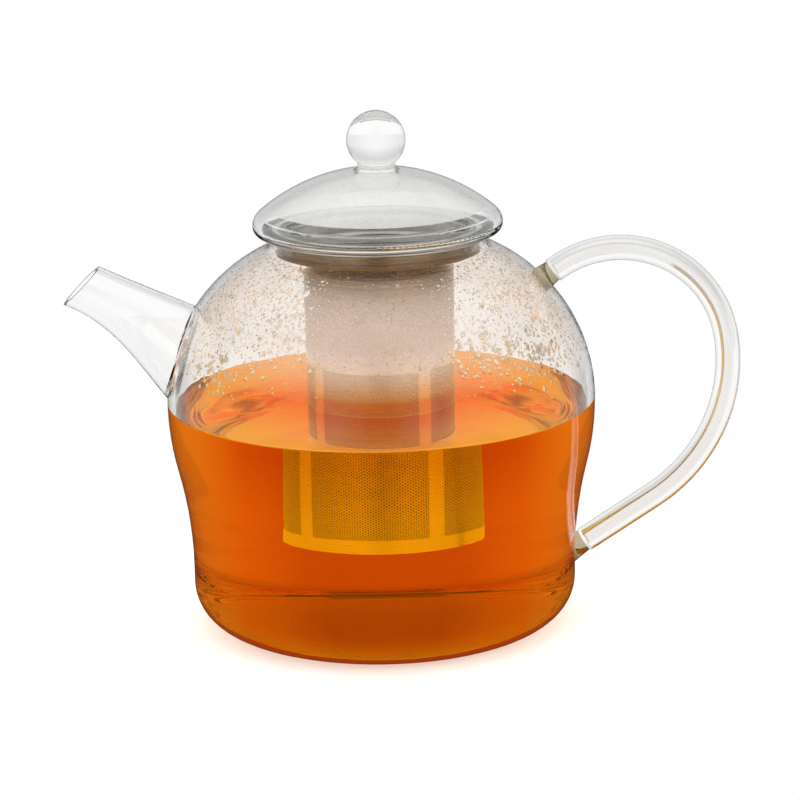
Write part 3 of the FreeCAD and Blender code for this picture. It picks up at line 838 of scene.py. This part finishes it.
tea = new_piece("tea", *turned(tea_outline(), closed=False), tea_at_glass, "pot")
tea.data.materials.append(tea_surface)
for face in tea.data.polygons:
    on_top = face.center.z > (TEA_LEVEL - TEA_SOAK) * MM and face.normal.z > SURFACE_FACES_UP
    face.material_index = 1 if on_top else 0

# Condensation: a haze on the inside of the dome and the lid, and beads of water on the dome
HAZE_GAP = 0.12
HAZE_BOTTOM = 96.0
HAZE_CLEAR_OF_SPOUT = 1.5
DOME_HAZE_LEVELS = (97.0, 112.0, 118.0, 133.0)
DOME_HAZE_COVERS = (0.02, 0.58)
# The haze's second tint, towards the neck, is a painted brown shade
DOME_HAZE_AND_PAINTED_SHADE_TINTS = ((0.80, 0.68, 0.59, 1), (0.62, 0.48, 0.34, 1))
DOME_HAZE_LIT = 0.6
LID_HAZE_LEVELS = (139.0, 150.0, 170.0, 180.0)
LID_HAZE_COVERS = (0.5, 0.92)
LID_HAZE_TINTS = ((0.88, 0.87, 0.85, 1), (0.88, 0.87, 0.85, 1))
LID_HAZE_LIT = 0.35


def dome_haze(levels=48):
    """Thin film inside the dome, left open where the spout's bore comes through."""
    outline = []
    for level in range(levels + 1):
        height = HAZE_BOTTOM + (NECK_FOOT - HAZE_BOTTOM) * level / levels
        outline.append((inner_radius(height) - HAZE_GAP, height))
    points, faces = turned(outline, closed=False)
    reach = SPOUT_BORE + HAZE_CLEAR_OF_SPOUT
    kept = []
    for face in faces:
        near = any(points[corner][0] < 0 and from_spout_axis(points[corner]) < reach for corner in face)
        if not near:
            kept.append(face)
    used = sorted({corner for face in kept for corner in face})
    order = {corner: index for index, corner in enumerate(used)}
    return [points[corner] for corner in used], [[order[corner] for corner in face] for face in kept]


def lid_haze(levels=24):
    """Thin film inside the lid's dome."""
    outline = []
    reach = LID_SPHERE - LID_WALL - HAZE_GAP
    for level in range(levels + 1):
        turn = LID_HAZE_TURN * (1 - level / levels)
        outline.append((reach * math.sin(turn), LID_CENTRE + reach * math.cos(turn)))
    return turned(outline, closed=False)


dome_film = steam_film("dome_haze", DOME_HAZE_LEVELS, DOME_HAZE_COVERS, DOME_HAZE_AND_PAINTED_SHADE_TINTS, DOME_HAZE_LIT)
new_piece("dome_haze", *dome_haze(), dome_film, "pot")
lid_film = steam_film("lid_haze", LID_HAZE_LEVELS, LID_HAZE_COVERS, LID_HAZE_TINTS, LID_HAZE_LIT)
new_piece("lid_haze", *lid_haze(), lid_film, "lid")

# Patches of large beads: angle round the axis, height, spread in degrees and millimetres, count, bead radius
LARGE_BEADS = (
    (-59.0, 108.0, 17.0, 11.0, 130, 0.55),
    (-38.0, 104.0, 14.0, 10.0, 130, 0.55),
    (-122.0, 116.0, 14.0, 12.0, 130, 0.5),
    (-145.0, 100.0, 14.0, 8.0, 70, 0.55),
    (40.0, 105.0, 25.0, 10.0, 90, 0.55),
    (120.0, 106.0, 25.0, 10.0, 90, 0.55),
)
LARGE_BEAD_SPREAD = 0.3
LARGE_BEAD_SIDES = 10
LARGE_BEADS_BELOW = 3.0
SMALL_BEADS = 8000
SMALL_BEAD_RADIUS = 0.22
SMALL_BEAD_SPREAD = 0.35
SMALL_BEAD_SIDES = 6
SMALL_BEAD_CLIMB = 0.75
BEAD_SMOOTH_ANGLE = math.radians(75)
BEAD_SINK = 0.08
BEAD_STRETCHES = (1.0, 1.45)
# Shares of the bead's radius and height
BEAD_HEIGHTS = (0.35, 0.55)
SHOULDER_WIDTH = 0.72
SHOULDER_HEIGHT = 0.62


def bead(point, inward, down, width, length, height, sides):
    """Cap of water on a wall: a ring sunk into the glass, a shoulder and a crown."""
    across = inward.cross(down).normalized()
    rings = ((1.0, -BEAD_SINK), (1.0, 0.0), (SHOULDER_WIDTH, SHOULDER_HEIGHT * height))
    points = []
    for share, lift in rings:
        for side in range(sides):
            turn = 2 * math.pi * side / sides
            sideways = across * (width * share * math.cos(turn))
            points.append(point + sideways + down * (length * share * math.sin(turn)) + inward * lift)
    points.append(point + inward * height)
    faces = [list(range(sides))[::-1]]
    for ring in range(len(rings) - 1):
        for side in range(sides):
            after = (side + 1) % sides
            low = ring * sides
            faces.append([low + side, low + after, low + sides + after, low + sides + side])
    last = (len(rings) - 1) * sides
    for side in range(sides):
        faces.append([last + side, last + (side + 1) % sides, len(points) - 1])
    return points, faces


def on_dome(angle, height):
    """Point on the inside of the dome, the way in from the glass there, and the way down it."""
    centre = Vector(around(BELLY_RADIUS - DOME_RADIUS, angle, BELLY_HEIGHT))
    point = Vector(around(inner_radius(height), angle, height))
    inward = (centre - point).normalized()
    sideways = Vector((-math.sin(angle), math.cos(angle), 0.0))
    down = inward.cross(sideways).normalized()
    return point, inward, down if down.z < 0 else -down


def all_beads():
    """Seeded scatter of beads over the dome, thick below the neck and thin above the tea."""
    draw = random.Random(SEED)
    parts = []

    def add(angle, height, radius, sides):
        """Put a bead on the dome, unless it is too low, too high or at the spout."""
        if not BEAD_LOW - LARGE_BEADS_BELOW < height < BEAD_HIGH:
            return
        point, inward, down = on_dome(angle, height)
        if point.x < 0 and from_spout_axis(point) < SPOUT_BORE + 2 * HAZE_CLEAR_OF_SPOUT:
            return
        length = radius * draw.uniform(*BEAD_STRETCHES)
        parts.append(bead(point, inward, down, radius, length, radius * draw.uniform(*BEAD_HEIGHTS), sides))

    for middle, level, wide, tall, count, usual in LARGE_BEADS:
        for _ in range(count):
            angle = math.radians(draw.gauss(middle, wide / 2))
            height = draw.gauss(level, tall / 2)
            add(angle, height, usual * draw.lognormvariate(0.0, LARGE_BEAD_SPREAD), LARGE_BEAD_SIDES)
    for _ in range(SMALL_BEADS):
        height = BEAD_LOW + (BEAD_HIGH - BEAD_LOW) * draw.random() ** SMALL_BEAD_CLIMB
        angle = draw.uniform(-math.pi, math.pi)
        radius = SMALL_BEAD_RADIUS * draw.lognormvariate(0.0, SMALL_BEAD_SPREAD)
        add(angle, height, radius, SMALL_BEAD_SIDES)
    return join(*parts)


new_piece("dome_beads", *all_beads(), water, "pot", smooth_angle=BEAD_SMOOTH_ANGLE)

# Handle: an oval glass tube. Its centre line is an arc at the crown, an arc at the grip and a straight tail
HANDLE_START = (60.80, 124.14)
HANDLE_RISE = math.radians(37.0)
CROWN_RADIUS = 37.9
CROWN_END = math.radians(-80.0)
GRIP_RADIUS = 57.96
GRIP_END = math.radians(-146.7)
TAIL_LENGTH = 29.2
HANDLE_THICKNESS = 8.6
HANDLE_WIDTH = 2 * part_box("handle")[1].y / MM
BORE_THICKNESS = 4.4
BORE_WIDTH = 7.6
BORE_INSET = 0.8
# Painted dark line of shade and reflected tea on the bore: past a heading, on the loop's inside beyond a
# share of half its thickness
PAINTED_SHADE_LINE_FROM = math.radians(-30.0)
PAINTED_SHADE_LINE_SIDE = -0.8


def handle_line(inset, arc_steps=60):
    """Places along the centre line as (x, z, heading), set in from both ends."""
    places = []
    x, z = HANDLE_START
    skipped = inset / CROWN_RADIUS
    for radius, first, last in ((CROWN_RADIUS, HANDLE_RISE, CROWN_END), (GRIP_RADIUS, CROWN_END, GRIP_END)):
        centre_x = x + radius * math.sin(first)
        centre_z = z - radius * math.cos(first)
        for step in range(arc_steps):
            heading = first - skipped + (last - first + skipped) * step / arc_steps
            x = centre_x - radius * math.sin(heading)
            z = centre_z + radius * math.cos(heading)
            places.append((x, z, heading))
        skipped = 0.0
        x = centre_x - radius * math.sin(last)
        z = centre_z + radius * math.cos(last)
    places.append((x, z, GRIP_END))
    tail = TAIL_LENGTH - inset
    places.append((x + tail * math.cos(GRIP_END), z + tail * math.sin(GRIP_END), GRIP_END))
    return places


def oval_along(line, thickness, width, sides=48):
    """Closed oval bar along a line of places in the XZ plane."""
    points = []
    rings = []
    for x, z, heading in line:
        ring = []
        for side in range(sides):
            turn = 2 * math.pi * side / sides
            lift = thickness / 2 * math.cos(turn)
            y = width / 2 * math.sin(turn)
            ring.append(len(points))
            points.append((x - lift * math.sin(heading), y, z + lift * math.cos(heading)))
        rings.append(ring)
    faces = [rings[0], rings[-1][::-1]]
    for low, high in zip(rings, rings[1:]):
        for side in range(sides):
            after = (side + 1) % sides
            faces.append([low[side], high[side], high[after], low[after]])
    return points, faces


handle_outside = oval_along(handle_line(0.0), HANDLE_THICKNESS, HANDLE_WIDTH)
bore_line = handle_line(BORE_INSET)
bore_points, bore_faces = oval_along(bore_line, BORE_THICKNESS, BORE_WIDTH)
handle_inside = (bore_points, [face[::-1] for face in bore_faces])
handle = new_piece("handle_tube", *join(handle_outside, handle_inside), glass, "pot")
handle.data.materials.append(bore_glass)
handle.data.materials.append(bore_line_painted_shade_glass)


def on_painted_shade_line(face):
    """Whether a face of the bore lies on the side of the loop's inside, past the crown."""
    centre = face.center / MM
    x, z, heading = min(bore_line, key=lambda place: (place[0] - centre.x) ** 2 + (place[1] - centre.z) ** 2)
    lift = (centre.z - z) * math.cos(heading) - (centre.x - x) * math.sin(heading)
    return heading < PAINTED_SHADE_LINE_FROM and lift < PAINTED_SHADE_LINE_SIDE * BORE_THICKNESS / 2


# Faces on the loop's inside past the crown take the painted dark line of shade and reflected tea
for face in handle.data.polygons[len(handle_outside[1]):]:
    face.material_index = 2 if on_painted_shade_line(face) else 1
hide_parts("handle")

# Floor: a white table with a faint painted warm glow of the tea's light round the pot
FLOOR_DROP = 0.3
FLOOR_REACH = 600.0
FLOOR_STEPS = 96
FLOOR_TINTS = ((0.80, 0.80, 0.80, 1), (0.84, 0.84, 0.84, 1))
FLOOR_SCALE = 40.0
FLOOR_ROUGHNESS = 0.7
FLOOR_SHEEN = 0.1
FLOOR_PAINTED_GLOW = (1.0, 0.88, 0.84, 1)
FLOOR_PAINTED_GLOW_STRENGTH = 0.25
FLOOR_FADE_FROM = 70.0
FLOOR_FADE_FULL = 140.0
FLOOR_THROUGH_GLASS = 1.0
FLOOR_IN_MIRRORS = 0.02


def pale_floor():
    """White table that takes the pot's shadow and a painted warm glow of the tea's light near it, and runs
    out into white. It is dark in glass mirrors.
    """
    material, tree, output = new_material("pale_floor")
    table = node(tree, "ShaderNodeBsdfPrincipled", Roughness=FLOOR_ROUGHNESS, Specular_IOR_Level=FLOOR_SHEEN,
                 Base_Color=tinted(tree, noise(tree, FLOOR_SCALE), *FLOOR_TINTS),
                 Emission_Color=FLOOR_PAINTED_GLOW, Emission_Strength=FLOOR_PAINTED_GLOW_STRENGTH)
    sweep = node(tree, "ShaderNodeEmission", Color=WHITE, Strength=1.0)
    spread = vector_result(tree, "LENGTH", "Value", own_place(tree))
    fade = rising(tree, spread, FLOOR_FADE_FROM, FLOOR_FADE_FULL)
    shader = blended(tree, fade, table.outputs["BSDF"], sweep.outputs["Emission"])
    path = light_path(tree)
    for kind, strength in ((path["Is Transmission Ray"], FLOOR_THROUGH_GLASS),
                           (mirrored_sharply(tree, path), FLOOR_IN_MIRRORS)):
        seen = node(tree, "ShaderNodeEmission", Color=WHITE, Strength=strength)
        shader = blended(tree, kind, shader, seen.outputs["Emission"])
    feed(tree, shader, output.inputs["Surface"])
    return material


floor_outline = [(0.0, -FLOOR_DROP), (FLOOR_REACH, -FLOOR_DROP)]
floor_points, floor_faces = turned(floor_outline, closed=False, steps=FLOOR_STEPS)
floor_mesh = bpy.data.meshes.new("floor")
floor_mesh.from_pydata([Vector(point) * MM for point in floor_points], [], floor_faces)
floor_mesh.materials.append(pale_floor())
floor = bpy.data.objects.new("floor", floor_mesh)
bpy.context.scene.collection.objects.link(floor)

# World, by direction: greys from straight down to straight up, and greyer corners
SWEEP_GREYS = ((0.0, 0.95), (0.5, 1.0), (0.57, 0.82), (0.66, 0.7), (0.76, 0.85), (1.0, 1.0))
CORNER_SPAN = (0.1, 0.5)
CORNER_GREYS = (1.0, 0.85)
# Towards the front it is dimmer in the middle and brighter at the sides, by these gains
FRONT_SPAN = (-0.2, -0.75)
SIDE_SPAN = (0.1, 0.42)
SIDE_GAINS = (-0.5, 0.9)
# In glass mirrors it is dimmed by these gains, except overhead
OVERHEAD_SPAN = (0.35, 0.95)
OVERHEAD_GAINS = (-0.93, 0.0)


def studio_world():
    """White to the eye. To glass and metal it is a white sweep with greyer corners."""
    world = bpy.data.worlds.new("studio")
    bpy.context.scene.world = world
    world.use_nodes = True
    tree = world.node_tree
    tree.nodes.clear()
    output = tree.nodes.new("ShaderNodeOutputWorld")
    path = light_path(tree)
    way = tree.nodes.new("ShaderNodeTexCoord").outputs["Generated"]
    parts = split(tree, way)
    sweep = ramped(tree, ranged(tree, parts["Z"], -1.0, 1.0, 0.0, 1.0),
                   [(spot, (grey, grey, grey, 1)) for spot, grey in SWEEP_GREYS])
    diagonal = calculated(tree, "ABSOLUTE", calculated(tree, "MULTIPLY", parts["X"], parts["Y"]))
    corners = ranged(tree, diagonal, *CORNER_SPAN, *CORNER_GREYS)
    ahead = ranged(tree, parts["Y"], *FRONT_SPAN, 0.0, 1.0)
    gain = ranged(tree, calculated(tree, "ABSOLUTE", parts["X"]), *SIDE_SPAN, *SIDE_GAINS)
    front = calculated(tree, "ADD", calculated(tree, "MULTIPLY", ahead, gain), 1.0)
    overhead = ranged(tree, parts["Z"], *OVERHEAD_SPAN, *OVERHEAD_GAINS)
    dimming = calculated(tree, "MULTIPLY", mirrored_sharply(tree, path), overhead)
    kept = calculated(tree, "ADD", dimming, 1.0)
    shade = calculated(tree, "MULTIPLY", calculated(tree, "MULTIPLY", corners, front), kept)
    shaded = tree.nodes.new("ShaderNodeVectorMath")
    shaded.operation = "SCALE"
    feed(tree, sweep, shaded.inputs["Vector"])
    feed(tree, shade, shaded.inputs["Scale"])
    around_it = node(tree, "ShaderNodeBackground", Color=shaded.outputs["Vector"])
    behind_it = node(tree, "ShaderNodeBackground", Color=WHITE, Strength=1.0)
    backgrounds = [side.outputs["Background"] for side in (around_it, behind_it)]
    feed(tree, blended(tree, path["Is Camera Ray"], *backgrounds), output.inputs["Surface"])


# Softboxes: name, place and aim in metres, width and height in metres, watts
SOFTBOXES = (
    ("top_softbox", (0.0, 0.25, 1.2), (0.0, 0.0, 0.05), 0.9, 0.9, 8.0),
    ("left_softbox", (-1.0, -0.9, 0.8), (0.0, 0.0, 0.09), 0.8, 0.9, 9.0),
    ("right_softbox", (1.0, -0.8, 0.7), (0.0, 0.0, 0.09), 0.8, 0.9, 7.0),
)


def softbox(name, place, aim, width, height, power):
    """Area lamp that faces a point and doesn't show in glass."""
    lamp = bpy.data.lights.new(name, "AREA")
    lamp.shape = "RECTANGLE"
    lamp.size = width
    lamp.size_y = height
    lamp.energy = power
    box = bpy.data.objects.new(name, lamp)
    box.location = place
    box.rotation_euler = (Vector(aim) - Vector(place)).to_track_quat("-Z", "Y").to_euler()
    box.visible_glossy = False
    box.visible_transmission = False
    bpy.context.scene.collection.objects.link(box)


studio_world()
for row in SOFTBOXES:
    softbox(*row)

# Camera
lens = bpy.data.cameras.new("camera")
lens.sensor_width = SENSOR_WIDTH
lens.lens = SENSOR_WIDTH * FOCAL_PIXELS / FRAME_PIXELS
lens.shift_x = (FRAME_PIXELS / 2 - AXIS_PIXEL[0]) / FRAME_PIXELS
lens.shift_y = (AXIS_PIXEL[1] - FRAME_PIXELS / 2) / FRAME_PIXELS
lens.clip_start = NEAR_CLIP * MM
camera = bpy.data.objects.new("camera", lens)
turn = Euler((math.pi / 2 - CAMERA_DOWN, 0.0, 0.0)).to_matrix() @ Matrix.Rotation(-CAMERA_ROLL, 3, "Z")
camera.rotation_euler = turn.to_euler()
camera.location = CAMERA_PLACE
bpy.context.scene.collection.objects.link(camera)

# Light bounces enough to come through glass, tea and glass again
scene = bpy.context.scene
scene.camera = camera
scene.view_settings.view_transform = "Standard"
scene.cycles.max_bounces = 48
scene.cycles.glossy_bounces = 24
scene.cycles.transmission_bounces = 40
scene.cycles.transparent_max_bounces = 24
